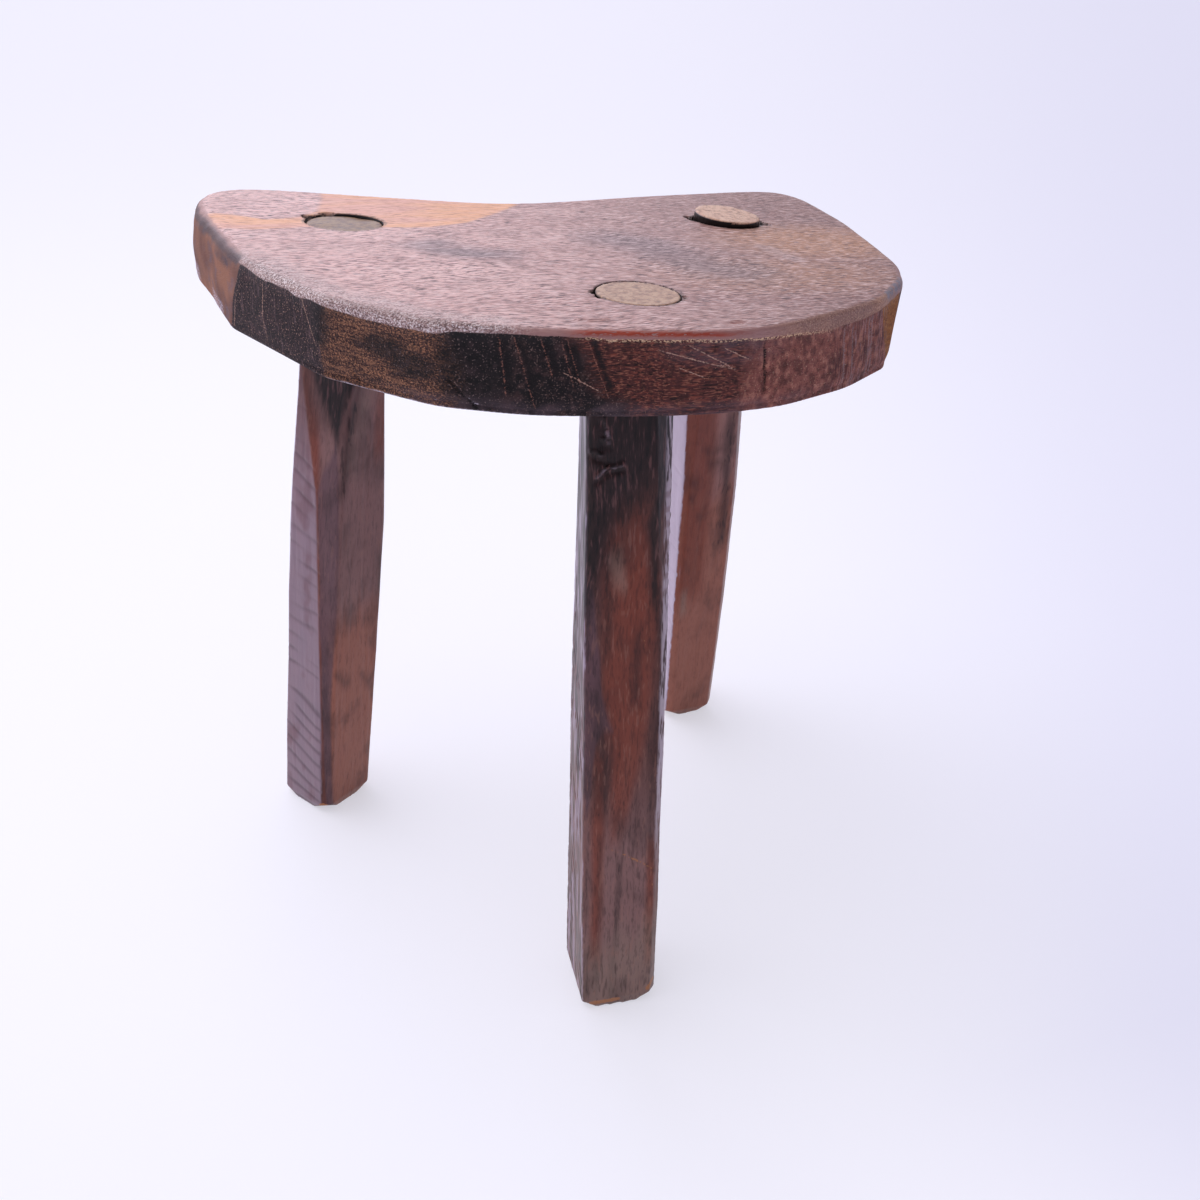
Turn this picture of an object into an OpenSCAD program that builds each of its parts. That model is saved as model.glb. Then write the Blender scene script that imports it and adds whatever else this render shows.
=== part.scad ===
// Three-legged milking stool: a hewn half-moon seat on three squared legs,
// whose round tenons pass right through the seat.
// Millimetres. X runs along the seat from its left end to its right end, +Y points
// to the hollow back edge, Z is up, and the legs stand on z = 0.

/* [Seat] */
// Height of the seat's top above the ground
seat_h = 306; // [260:1:340]
// Thickness of the slab
seat_t = 30; // [24:1:38]
// Length of the half moon from end to end
seat_l = 315; // [290:1:340]
// Depth of the half moon from front to back
seat_d = 239.5; // [225:0.5:265]
// Depth of the worn round along the top edge
edge_wear = 3; // [1:0.5:4]
// Width of the bevel along the underside's edge
under_bevel = 1.5; // [0.5:0.5:4]

/* [Holes and tenons] */
// Diameter of the auger hole bored for each tenon
bore_d = 32; // [28:0.5:34]
// Gap all round between a tenon and its hole
tenon_gap = 0.6; // [0.3:0.05:0.9]
// Front hole, from the front of the seat
front_in = 47; // [42:1:60]
// Front hole, to the left of the seat's middle
front_off = 15; // [0:1:25]
// Left hole, from the left end of the seat
left_in = 58; // [50:1:70]
// Left hole, from the back of the seat
left_back = 77.5; // [65:0.5:85]
// Right hole, from the right end of the seat
right_in = 75; // [60:1:82]
// Right hole, from the back of the seat
right_back = 74.5; // [62:0.5:82]
// How far the left tenon's end lies below the seat
left_sink = 2; // [0:0.5:4]
// How far the right tenon's end stands above the seat
right_proud = 3.5; // [0:0.5:6]
// Slope of the right tenon's end, down towards the right
right_slope = 3; // [0:1:8]

/* [Legs] */
// How far the front foot stands out from its hole
front_splay = 48; // [30:1:60]
// How far the left foot stands out from its hole
left_splay = 20.5; // [10:0.5:40]
// How far the right foot stands out from its hole
right_splay = 39; // [20:0.5:48]
// Width of the front leg at the foot
front_foot_w = 35; // [30:0.5:38]
// Width of the left leg at the foot
left_foot_w = 34; // [30:0.5:38]
// Width of the right leg at the foot
right_foot_w = 33; // [30:0.5:38]
// Extra width of the front leg halfway up, over the mean of its two ends
front_swell = 0.5; // [0:0.5:3]
// Extra width of the left leg halfway up
left_swell = 1; // [0:0.5:3]
// Extra width of the right leg halfway up
right_swell = 2.5; // [0:0.5:3]
// How far a leg's flats stand out past its hole at the seat
shoulder_rest = 0.5; // [0.3:0.1:2]
// Length of the neck, where the arrises are cut back towards the tenon
neck_l = 110; // [60:5:150]
// How far the sole's edge is worn in
sole_bevel = 1.5; // [0.5:0.5:3]
// How far each corner of the sole is worn off
sole_corner = 5; // [1:0.5:7]
// Height of the wear round the sole
sole_wear_h = 5; // [2:0.5:10]

/* [Hidden] */
$fn = 64;

wood_seat = "#80514a";
wood_leg = "#5c2b24";

// Hewn outline of the seat, from the front round by the right: X and Y of each corner on
// the top, how far the corner is worn round, how far its foot on the underside is shifted
// in X and Y, and how worn the top edge is there, where 1 is the plain edge_wear. The
// whole outline is then fitted to the seat's length and depth
corners = [
    [1, -119, 12, 0, 1, 0.6],
    [26, -113, 8, 2, -1.5, 0.6],
    [60, -98, 8, 4, -3, 0.7],
    [83, -86, 4, 11.5, 4, 0.8],
    [109.5, -62, 7, -11.5, -14, 1.2],
    [129.5, -31, 10, -6, -13, 1.8],
    [140, 8, 15, -2, 0, 1.2],
    [150, 45, 14, -2, 0, 1],
    [155, 74, 12, -2, 0, 1],
    [159, 99, 10, -2, 0, 1],
    [156, 115, 7, -2, -1, 1],
    [147, 122, 9, -1, -2, 1],
    [128, 121, 12, 0, -2, 1],
    [68, 107, 26, 0, -3, 1],
    [13, 90, 24, 0, -3, 1],
    [-18, 84, 18, 0, -3, 1],
    [-64, 95, 24, 0, -3, 1],
    [-107, 109, 16, 0, -3, 1],
    [-130, 114, 10, 0, -2, 1],
    [-143, 111, 9, 0, -1, 1.6],
    [-154, 99, 11, -1, 0, 2.2],
    [-157, 73, 14, -1, 0, 2.4],
    [-153, 30, 10, 0, 0, 2.1],
    [-147, -14, 2, -4, 13, 1.8],
    [-127, -65, 4, 0, 5, 1.2],
    [-96, -97, 7, 1, 2, 1],
    [-67, -108, 12, 0, -1, 0.8],
    [-29, -115, 12, 0, -1, 0.7]
];

// Chamfers of each leg's four arrises below the neck and at the shoulder, in turn from
// the one between its right and back faces: back right, back left, front left, front right
front_arrises = [2, 3, 0.8, 3.5];
front_neck = [8, 9, 2, 8];
left_arrises = [3, 4, 4, 3];
left_neck = [8, 9, 8, 9];
right_arrises = [3, 3, 3, 4.5];
right_neck = [8, 8, 8, 9];

// Way that each foot is splayed, as a bearing from +X, and how far each leg's section is
// turned about Z at the foot and at the shoulder
front_way = 267;
left_way = 160;
right_way = 46;
front_turn = [-7, -15];
left_turn = [33, 31];
right_turn = [3, 4];
// How far each leg's neck is bent off the straight line from hole to foot
front_bend = [-2.8, 1];
left_bend = [1.3, 0];
right_bend = [-2.4, 1.5];

half_l = seat_l / 2;
half_d = seat_d / 2;
under_z = seat_h - seat_t;
tenon_d = bore_d - 2 * tenon_gap;
shoulder_w = bore_d + 2 * shoulder_rest;
// How deep a tenon is rooted in its leg, and how far a cutter runs clear of what it cuts
root_l = 2.5;
clear = 10;

function unit(v) = v / norm(v);
function shift(length, bearing) = length * [cos(bearing), sin(bearing)];

front_hole = [-front_off, front_in - half_d];
left_hole = [left_in - half_l, half_d - left_back];
right_hole = [half_l - right_in, half_d - right_back];

front_foot = front_hole + shift(front_splay, front_way);
left_foot = left_hole + shift(left_splay, left_way);
right_foot = right_hole + shift(right_splay, right_way);

// Middle of a leg where it meets the underside of the seat
function shoulder_at(hole, foot, bend) = hole + (foot - hole) * seat_t / seat_h + bend;
front_shoulder = shoulder_at(front_hole, front_foot, front_bend);
left_shoulder = shoulder_at(left_hole, left_foot, left_bend);
right_shoulder = shoulder_at(right_hole, right_foot, right_bend);

// The corners at one level of the seat. down is 0 at the top and 1 at the underside, worn
// is the share of the top edge's wear that is cut away there, and cut is an even inset
function around(list, i) = list[(i + len(list)) % len(list)];
function inward(a, b) = let (along = unit(b - a)) [-along.y, along.x];
function mitre(a, b, c) = (inward(a, b) + inward(b, c)) / (1 + inward(a, b) * inward(b, c));

plan = [for (c = corners) [c[0], c[1]]];
function corners_at(down, worn, cut) = [
    for (i = [0:len(corners) - 1])
        let (
            c = corners[i],
            inset = worn * c[5] * edge_wear + cut
        )
        plan[i] + down * [c[3], c[4]] + inset * mitre(around(plan, i - 1), plan[i], around(plan, i + 1))
];

// Each corner becomes a short quadratic curve
round_steps = 4;
function leave(a, b, r) = a + unit(b - a) * min(r, norm(b - a) / 2);
function curve(a, b, c, t) = a * (1 - t) ^ 2 + b * 2 * t * (1 - t) + c * t ^ 2;
function rounded(points) = [
    for (i = [0:len(points) - 1])
        let (
            p = points[i],
            r = corners[i][2],
            a = leave(p, around(points, i - 1), r),
            b = leave(p, around(points, i + 1), r)
        )
        for (k = [0:round_steps]) curve(a, p, b, k / round_steps)
];

function least(points) = [min([for (p = points) p.x]), min([for (p = points) p.y])];
function most(points) = [max([for (p = points) p.x]), max([for (p = points) p.y])];

drawn_low = least(rounded(plan));
drawn_high = most(rounded(plan));
drawn_size = drawn_high - drawn_low;
drawn_middle = (drawn_low + drawn_high) / 2;

function outline(down, worn = 0, cut = 0) = [
    for (p = rounded(corners_at(down, worn, cut)))
        let (q = p - drawn_middle)
        [q.x * seat_l / drawn_size.x, q.y * seat_d / drawn_size.y]
];

function level(points, z) = [for (p = points) [p.x, p.y, z]];

// One level of the worn round, at an angle from 0 on the seat's side to 90 on its top
wear = [for (c = corners, k = [0:round_steps]) c[5] * edge_wear];
function worn_level(a) =
    let (points = outline(0, 1 - cos(a)))
    [for (i = [0:len(points) - 1]) [points[i].x, points[i].y, seat_h - wear[i] * (1 - sin(a))]];

wear_steps = 4;
seat_levels = concat(
    [
        level(outline(1, cut = under_bevel), under_z),
        level(outline(1 - under_bevel / seat_t), under_z + under_bevel)
    ],
    [for (k = [0:wear_steps]) worn_level(90 * k / wear_steps)]
);

// Closed skin through levels that all have as many points, from the lowest to the highest
module loft(levels) {
    n = len(levels[0]);
    top = len(levels) - 1;
    sides = [
        for (l = [0:top - 1], i = [0:n - 1])
            let (j = (i + 1) % n)
            [l * n + i, (l + 1) * n + i, (l + 1) * n + j, l * n + j]
    ];
    bottom_face = [for (i = [0:n - 1]) i];
    top_face = [for (i = [n - 1:-1:0]) top * n + i];
    polyhedron([for (l = levels, p = l) p], concat([bottom_face, top_face], sides));
}

// Round rod on the line from a shoulder to its hole, from one height to another
module rod(d, hole, shoulder, low, high) {
    run = [hole.x - shoulder.x, hole.y - shoulder.y, seat_t];
    start = [shoulder.x, shoulder.y, under_z] + run * (low - under_z) / seat_t;
    translate(start)
        rotate(a = acos(run.z / norm(run)), v = [-run.y, run.x, 0])
            cylinder(d = d, h = norm(run) * (high - low) / seat_t);
}

module hole(hole, shoulder) {
    rod(bore_d, hole, shoulder, under_z - clear, seat_h + clear);
}

module seat() {
    color(wood_seat)
        difference() {
            loft(seat_levels);
            hole(front_hole, front_shoulder);
            hole(left_hole, left_shoulder);
            hole(right_hole, right_shoulder);
        }
}

// Section of a leg: a square with its four arrises chamfered
function section(middle, w, chamfers, turn, z) = [
    for (q = [0:3], before = [true, false])
        let (
            out = w / 2,
            in = out - chamfers[q],
            x = before ? out : in,
            y = before ? in : out,
            a = turn + 90 * q
        )
        [middle.x + x * cos(a) - y * sin(a), middle.y + x * sin(a) + y * cos(a), z]
];

// Heights of the sections, close together in the neck
shaft_steps = 6;
neck_steps = 5;
neck_z = under_z - neck_l;
heights = concat(
    [0],
    [for (k = [0:shaft_steps - 1]) sole_wear_h + (neck_z - sole_wear_h) * k / shaft_steps],
    [for (k = [0:neck_steps]) neck_z + neck_l * k / neck_steps]
);

module shaft(foot, shoulder, foot_w, swell, arrises, neck, turn) {
    loft([
        for (z = heights)
            let (
                t = z / under_z,
                worn = z == 0 ? 1 : 0,
                cut_back = max(0, (z - neck_z) / neck_l),
                w = foot_w * (1 - t) + shoulder_w * t + 4 * swell * t * (1 - t),
                chamfers = arrises * (1 - cut_back) + neck * cut_back
            )
            section(
                foot * (1 - t) + shoulder * t,
                w - 2 * sole_bevel * worn,
                [for (c = chamfers) c + sole_corner * worn],
                turn[0] * (1 - t) + turn[1] * t,
                z
            )
    ]);
}

// Tenon whose end is sawn off at a height on the hole's middle, sloping down to the right
module tenon(hole, shoulder, end_z, slope) {
    difference() {
        rod(tenon_d, hole, shoulder, under_z - root_l, end_z + clear);
        translate([hole.x, hole.y, end_z])
            rotate([0, slope, 0])
                translate([-bore_d, -bore_d, 0])
                    cube([2 * bore_d, 2 * bore_d, 2 * clear + bore_d]);
    }
}

module leg_front() {
    color(wood_leg) {
        shaft(front_foot, front_shoulder, front_foot_w, front_swell, front_arrises, front_neck, front_turn);
        tenon(front_hole, front_shoulder, seat_h, 0);
    }
}

module leg_left() {
    color(wood_leg) {
        shaft(left_foot, left_shoulder, left_foot_w, left_swell, left_arrises, left_neck, left_turn);
        tenon(left_hole, left_shoulder, seat_h - left_sink, 0);
    }
}

module leg_right() {
    color(wood_leg) {
        shaft(right_foot, right_shoulder, right_foot_w, right_swell, right_arrises, right_neck, right_turn);
        tenon(right_hole, right_shoulder, seat_h + right_proud, right_slope);
    }
}

// The middle of the whole stool's footprint is put on the origin: the seat's rim, and the
// front foot, which reaches out further than the seat
rim = concat(outline(0), outline(1));
front_sole = section(front_foot, front_foot_w, front_arrises, front_turn[0], 0);
reach_low = [for (i = [0, 1]) min(least(rim)[i], least(front_sole)[i])];
reach_high = [for (i = [0, 1]) max(most(rim)[i], most(front_sole)[i])];
middle = (reach_low + reach_high) / 2;

module place() {
    translate([-middle.x, -middle.y, 0]) children();
}

place() seat();
place() leg_front();
place() leg_left();
place() leg_right();
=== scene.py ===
import itertools
import math

import bpy
import numpy as np
from mathutils import Matrix, Vector


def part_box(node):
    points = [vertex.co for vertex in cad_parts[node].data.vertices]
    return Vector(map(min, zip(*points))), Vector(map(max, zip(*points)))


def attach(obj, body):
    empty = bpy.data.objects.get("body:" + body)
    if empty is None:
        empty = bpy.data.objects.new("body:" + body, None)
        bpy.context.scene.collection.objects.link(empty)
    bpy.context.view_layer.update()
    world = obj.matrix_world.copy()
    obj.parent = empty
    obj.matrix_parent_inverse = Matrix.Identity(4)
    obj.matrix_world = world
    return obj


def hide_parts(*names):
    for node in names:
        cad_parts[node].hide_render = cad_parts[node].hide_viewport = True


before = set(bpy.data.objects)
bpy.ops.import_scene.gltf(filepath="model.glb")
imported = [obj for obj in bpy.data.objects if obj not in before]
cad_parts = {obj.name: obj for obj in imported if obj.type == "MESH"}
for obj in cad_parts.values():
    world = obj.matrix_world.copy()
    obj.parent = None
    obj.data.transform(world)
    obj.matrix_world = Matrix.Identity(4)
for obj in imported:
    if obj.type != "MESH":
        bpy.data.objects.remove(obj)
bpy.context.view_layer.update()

# Millimetres in a metre. Places and pattern sizes on the stool are written in millimetres
MM = 1000.0
# Height of the seat's top and of its underside, from the frame
SEAT_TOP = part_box("seat")[1].z * MM
SEAT_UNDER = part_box("seat")[0].z * MM
# Edge of the voxels that the hewn surfaces are carved in
SEAT_VOXEL = 0.85
LEG_VOXEL = 0.75
# The photograph's view: place of the lens, and its turn, tilt and roll in degrees
LENS_PLACE = (-0.1843, -0.4272, 0.410)
LENS_TURN, LENS_TILT, LENS_ROLL = 24.5, 30.2, 5.4
LENS_MM = 33.0


# Noise and masks


def noise(points, size, seed):
    """Smooth random values from -1 to 1 at points, in features about size across."""
    table = np.random.default_rng(seed).uniform(-1, 1, 8192)
    scaled = points / np.asarray(size, float) + 500
    cell = np.floor(scaled).astype(np.int64)
    part = scaled - cell
    part = part * part * (3 - 2 * part)
    total = np.zeros(len(points))
    for corner in itertools.product((0, 1), repeat=3):
        x, y, z = (cell + corner).T
        value = table[(x * 73856093 ^ y * 19349663 ^ z * 83492791) % 8192]
        total += value * np.prod(np.where(corner, part, 1 - part), axis=1)
    return total


def fractal(points, size, seed, octaves=3):
    """Noise in octaves, each half as large and half as strong as the one before."""
    layers = [noise(points, np.asarray(size) / 2**k, seed + k) / 2**k for k in range(octaves)]
    return sum(layers) / 1.75


def rise(value, low, high):
    """0 below low, 1 above high, and a smooth step between. With low above high it falls."""
    t = np.clip((value - low) / (high - low), 0, 1)
    return t * t * (3 - 2 * t)


def band(value, start, low, high, end):
    """1 from low to high, and 0 out at start and end."""
    return rise(value, start, low) * rise(value, end, high)


def bell(away, width):
    """1 at no distance, and less and less farther away."""
    return np.exp(-((away / width) ** 2))


def along(points, a, b):
    """Distance of each point to the line from a to b, and how far along it lies from 0 to 1."""
    a = np.asarray(a, float)
    run = np.asarray(b, float) - a
    t = np.clip((points - a) @ run / (run @ run), 0, 1)
    return np.linalg.norm(points - a - t[:, None] * run, axis=1), t


def beside(flat, a, b):
    """Distance from the line through a and b, positive on its right looking from a to b, and the share along it."""
    run = np.asarray(b, float) - a
    return (flat - a) @ (run[1], -run[0]) / np.hypot(*run), (flat - a) @ run / (run @ run)


def blot(points, centre, radii, edge=0.5):
    """1 inside an ellipsoid round centre, fading to 0 over the share edge past it."""
    away = np.linalg.norm((points - np.asarray(centre, float)) / radii, axis=1)
    return 1 - rise(away, 1 - edge / 2, 1 + edge / 2)


def inside(flat, corners):
    """Distance inside a closed outline, negative outside it."""
    x, y = flat.T
    nearest = np.full(len(flat), np.inf)
    within = np.zeros(len(flat), bool)
    corners = np.asarray(corners, float)
    for a, b in zip(corners, np.roll(corners, -1, axis=0)):
        run = b - a
        t = np.clip((flat - a) @ run / (run @ run), 0, 1)
        nearest = np.minimum(nearest, np.hypot(*(flat - a - t[:, None] * run).T))
        if a[1] != b[1]:
            crossing = a[0] + (y - a[1]) * run[0] / run[1]
            within ^= ((a[1] > y) != (b[1] > y)) & (x < crossing)
    return np.where(within, nearest, -nearest)


# Meshes


def carve(node, name, voxel):
    """A finely meshed copy of a CAD node, as a new object."""
    rough = bpy.data.objects.new(name + "_rough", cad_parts[node].data.copy())
    bpy.context.scene.collection.objects.link(rough)
    weld = rough.modifiers.new("weld", "WELD")
    weld.merge_threshold = 0.00001
    remesh = rough.modifiers.new("remesh", "REMESH")
    remesh.mode = "VOXEL"
    remesh.voxel_size = voxel / MM
    remesh.use_smooth_shade = True
    evaluated = rough.evaluated_get(bpy.context.evaluated_depsgraph_get())
    mesh = bpy.data.meshes.new_from_object(evaluated)
    mesh.name = name
    bpy.data.objects.remove(rough)
    piece = bpy.data.objects.new(name, mesh)
    bpy.context.scene.collection.objects.link(piece)
    mesh.materials.clear()
    return piece


def read_points(mesh):
    """Places in millimetres and unit normals of a mesh's vertices."""
    points = np.empty(len(mesh.vertices) * 3)
    mesh.vertices.foreach_get("co", points)
    normals = np.empty(len(mesh.vertices) * 3, np.float32)
    mesh.vertex_normals.foreach_get("vector", normals)
    return points.reshape(-1, 3) * MM, normals.reshape(-1, 3).astype(float)


def write_points(mesh, points):
    mesh.vertices.foreach_set("co", (points / MM).ravel())
    mesh.update()


def paint(mesh, name, values):
    """Stores a mask from 0 to 1 on the mesh, which its material reads by name."""
    layer = mesh.attributes.new(name, "FLOAT", "POINT")
    layer.data.foreach_set("value", np.clip(values, 0, 1).astype(np.float32))


def paint_lines(mesh, name, flat, marks, width):
    """Stores thin marks as two masks: one is 0.5 on each mark's line and off that to its sides, one is 1 along it."""
    product = np.ones(len(flat))
    reach = np.zeros(len(flat))
    for start, end in marks:
        away, share = beside(flat, start, end)
        product *= np.clip(away / width, -1, 1)
        near = rise(np.abs(away), 2.2 * width, 1.4 * width) * band(share, -0.06, 0.04, 0.94, 1.06)
        reach = np.maximum(reach, near)
    paint(mesh, name, 0.5 + product / 2)
    paint(mesh, name + "_reach", reach)


# The seat's hewn slab


# The holes' radius, and their middles in the seat's top: front, left and right
HOLE_RADIUS = 16.2
HOLES = [(-14.5, -62.7), (-99, 52.3), (83, 55.3)]
# The side's stretches, each from a line down the side to the next: a place at the line's
# top, one at its foot, and how sharply the stretch begins, in millimetres
STRETCHES = {
    "dark_flat": ((-147.3, -4.8, 303), (-151.1, 5.6, 277.7), 1),
    "sawn_end": ((-127, -56.5, 303), (-127, -52.4, 278), 2),
    "sooty": ((-92, -90, 303), (-88, -91, 278), 5),
    "red_front": ((-52, -102.8, 303), (-36, -106.4, 278), 8),
    "brown_right": ((9, -108.8, 303), (9, -108.8, 278), 10),
    "tan_corner": ((82.5, -78, 303), (92.5, -74.5, 280), 0.8),
    "far_right": ((104, -57, 303), (102.5, -63, 280), 2),
}
# Line of the top edge's wear on the side, below which the side is clean
WEAR_LINE = [
    (-157, 100, 303), (-155.6, 83.7, 303), (-154.7, 64.9, 303.4), (-152.7, 43.3, 303.8), (-150.3, 21.5, 303.5),
    (-147.7, 1.2, 303.6), (-144, -15, 302.6), (-140.6, -23, 302.2), (-135, -37, 303), (-133, -43, 301.8),
    (-129.7, -51, 303.3), (-127, -57, 302.2), (-113, -71, 301.2), (-99, -85.4, 301.6), (-90.6, -91, 302.6),
    (-77, -95.9, 303.6), (-64, -100, 303.6), (-32.5, -106.2, 303), (-12, -109.1, 303.4), (5, -109, 302.8),
    (20, -106, 302), (31, -102.6, 301.6), (45, -97, 300.2), (60.5, -90, 300.4), (75.4, -82.2, 301), (84, -77, 301.8),
    (96, -66, 302), (112, -46, 303),
]
# Drawknife marks on the front, each from its top to its foot
KNIFE_MARKS = [
    ((-77.8, -95.9, 302.5), (-74.8, -97, 283)),
    ((-73.3, -97.5, 303), (-65.6, -100.4, 279)),
    ((-64.6, -100.1, 302), (-60.6, -101.4, 290.5)),
    ((-58.2, -101.6, 302), (-53.6, -103, 287.5)),
    ((-55.9, -102.1, 301), (-51.4, -103.4, 288)),
    ((-49.4, -103.3, 302), (-41.5, -105.3, 283.5)),
]
# Pale scratches across the side
SCRATCHES = [
    ((-56.7, -102.3, 291.5), (-44.5, -104.7, 285.4)),
    ((-25.3, -107.4, 299.5), (-8, -109.2, 295)),
    ((-15.1, -108.7, 301), (3, -109.3, 292.6)),
    ((-18, -108.4, 293.5), (-8.4, -109.2, 290)),
    ((-2, -109.3, 300), (9, -108.6, 295)),
    ((-141.2, -22.2, 301), (-140.9, -20.2, 280)),
    ((-131.6, -46.2, 303), (-128.6, -50.8, 288)),
    ((-148.6, -2, 290), (-150.4, 3.5, 279)),
]
# Cracks in the side
CRACKS = [
    ((14.4, -107.5, 301), (16.4, -107.4, 291)),
    ((16.4, -107.4, 291), (18, -107.3, 283)),
    ((-93, -88.5, 287), (-87.5, -91, 281)),
    ((-87.5, -91, 281), (-82.5, -93.2, 275.5)),
    ((-118.9, -62.4, 282), (-116.6, -63.8, 275.5)),
]
# Upright creases towards the right corner
CREASES = [
    ((57.5, -91.5, 299), (60.1, -92.7, 277)),
    ((62.8, -89.1, 299), (65.8, -90.3, 277)),
    ((74.1, -82.9, 300), (77, -83.7, 277)),
    ((76.2, -82, 300), (79.4, -82.4, 277)),
]
# Blue-grey stains on the top: from, to, reach and strength
STAINS = [((-74, 11), (-50, -7), 11, 0.95), ((14, 20), (38, -36), 22, 0.75)]
# Outline of the pale sapwood on the top
SAPWOOD = [
    (-156, 71), (-143, 66.5), (-130, 57), (-116, 61), (-106.5, 73), (-101, 98), (-97, 125), (0, 125),
    (-12, 88), (-25, 73), (-46, 52), (-65, 43), (-84, 42), (-117, 43), (-137, 39.4), (-149, 42), (-157, 50),
]


def edge_bearing(points):
    """Bearing round the seat in degrees, from -270 at its back by way of the left end, front and right end to 90."""
    return (np.degrees(np.arctan2(points[:, 1], points[:, 0])) - 90) % 360 - 270


def measure_edge(points, normals):
    """Bearings round the slab's side, the run to each from the front's middle, and its reach, in millimetres."""
    on_side = (np.abs(points[:, 2] - (SEAT_TOP + SEAT_UNDER) / 2) < 1.5) & (np.abs(normals[:, 2]) < 0.6)
    side = points[on_side]
    bearings = edge_bearing(side)
    reach = np.hypot(side[:, 0], side[:, 1])
    stations = np.arange(-270, 91, 1.5)
    far = np.array([reach[np.abs(bearings - station) < 1].max() for station in stations])
    steps = np.hypot(np.diff(far * np.cos(np.radians(stations))), np.diff(far * np.sin(np.radians(stations))))
    runs = np.concatenate([[0], np.cumsum(steps)])
    return stations, runs - np.interp(-90, stations, runs), far


def unroll(points, edge):
    """Run round the edge and height of each point."""
    points = np.asarray(points, float)
    return np.stack([np.interp(edge_bearing(points), *edge[:2]), points[:, 2]], axis=1)


def unroll_marks(marks, edge):
    return [tuple(unroll(mark, edge)) for mark in marks]


def wear_height(flat, edge):
    """Height of the line where the top edge's wear ends on the side."""
    line = unroll(WEAR_LINE, edge)
    return np.interp(flat[:, 0], line[:, 0], line[:, 1])


def off_holes(points):
    """Distance of each point from the middle of the nearest hole."""
    return np.minimum.reduce([np.hypot(points[:, 0] - x, points[:, 1] - y) for x, y in HOLES])


def bored(points, reach):
    """1 on the walls of the holes, out to reach from their middles."""
    return rise(off_holes(points), reach + 1, reach)


def shape_seat(mesh, edge):
    points, normals = read_points(mesh)
    flat = unroll(points, edge)
    z, run, up = points[:, 2], flat[:, 0], normals[:, 2]
    away_from_holes = 1 - bored(points, 24)
    side = rise(np.abs(up), 0.8, 0.4) * away_from_holes
    top = rise(up, 0.97, 0.995)
    depth = np.zeros(len(points))
    # Shallow hollows of the axe on the side, and a faint sway on the flats
    depth += side * 0.8 * fractal(points, (24, 24, 50), 3, 2)
    depth += (1 - side) * away_from_holes * 0.25 * noise(points, 55, 8)
    # The left end swells a little at mid-height, and the front's foot is rounded under
    left_end = rise(run, -150, -175)
    depth += side * left_end * 0.9 * bell(z - 289, 7)
    depth -= side * (1 - left_end) * 1.4 * rise(z, 284, 276) ** 2
    # Each drawknife mark is a step, cut in on its right
    for start, end in unroll_marks(KNIFE_MARKS, edge):
        away, share = beside(flat, start, end)
        depth -= side * band(share, -0.05, 0.1, 0.8, 1.05) * 0.55 * band(-away, -0.2, 0.7, 1.5, 5)
    for start, end in unroll_marks(CREASES, edge):
        away, share = beside(flat, start, end)
        depth -= side * 0.5 * bell(away, 0.9) * band(share, -0.05, 0.1, 0.9, 1.05)
    for start, end in unroll_marks(CRACKS, edge):
        away, share = beside(flat + 0.4 * noise(points, 3, 21)[:, None], start, end)
        depth -= side * 0.9 * bell(away, 0.7) * band(share, -0.05, 0.2, 0.95, 1.05)
    # The sawn end is rough like coarse sandpaper
    sawn = rise(run, *stretch_run("sawn_end", edge, 3)) * rise(run, *stretch_run("sooty", edge, 9)[::-1])
    depth += side * sawn * 0.08 * noise(points, 1.8, 5)
    # The worn top edge is rough too, most of all along the left
    wear = band(up, 0.1, 0.4, 0.96, 0.995) * away_from_holes * rise(z, SEAT_UNDER + 15, SEAT_TOP - 8)
    rough_run = rise(run, 20, -60)
    depth += wear * (0.1 + 0.22 * rough_run) * fractal(points, (6, 6, 4), 14, 3)
    # A thin flake lifted on the top near the front, and a small chip out of the edge
    flake = blot(points, (-43.5, -91, SEAT_TOP), (6.5, 2.6, 9), 0.3)
    depth += top * flake * 0.5
    depth -= blot(points, (6, -101, SEAT_TOP), (3.2, 1.6, 3), 0.6) * 0.8
    points += normals * depth[:, None]
    # The right hole's mouth is torn to both sides, and the left hole's at its back
    drop = np.zeros(len(points))
    ragged = points + 1.2 * np.stack([noise(points, 3, seed) for seed in (61, 62, 63)], axis=1)
    for centre, radii, deep in (
        ((67.2, 60), (2.8, 6), 5),
        ((99.2, 51), (3.2, 5), 3.5),
        ((-111.5, 61.5), (2.4, 4), 3),
        ((-104, 69), (3.2, 1.6), 2),
        ((-30.4, -62), (1.5, 6), 2.5),
        ((1.4, -69), (1.2, 1.8), 2),
    ):
        drop = np.maximum(drop, deep * blot(ragged, (*centre, SEAT_TOP), (*radii, 20), 0.35))
    z -= drop * rise(z, SEAT_TOP - 6, SEAT_TOP - 1)
    # Painted shade: the torn notches are painted black
    paint(mesh, "torn", rise(drop, 0.4, 1.4))
    write_points(mesh, points)


def stretch_run(name, edge, soft):
    """Runs between which a stretch of the side begins, soft to either side of its line."""
    top, foot, _ = STRETCHES[name]
    middle = unroll([top, foot], edge)[:, 0].mean()
    return middle - soft, middle + soft


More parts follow.
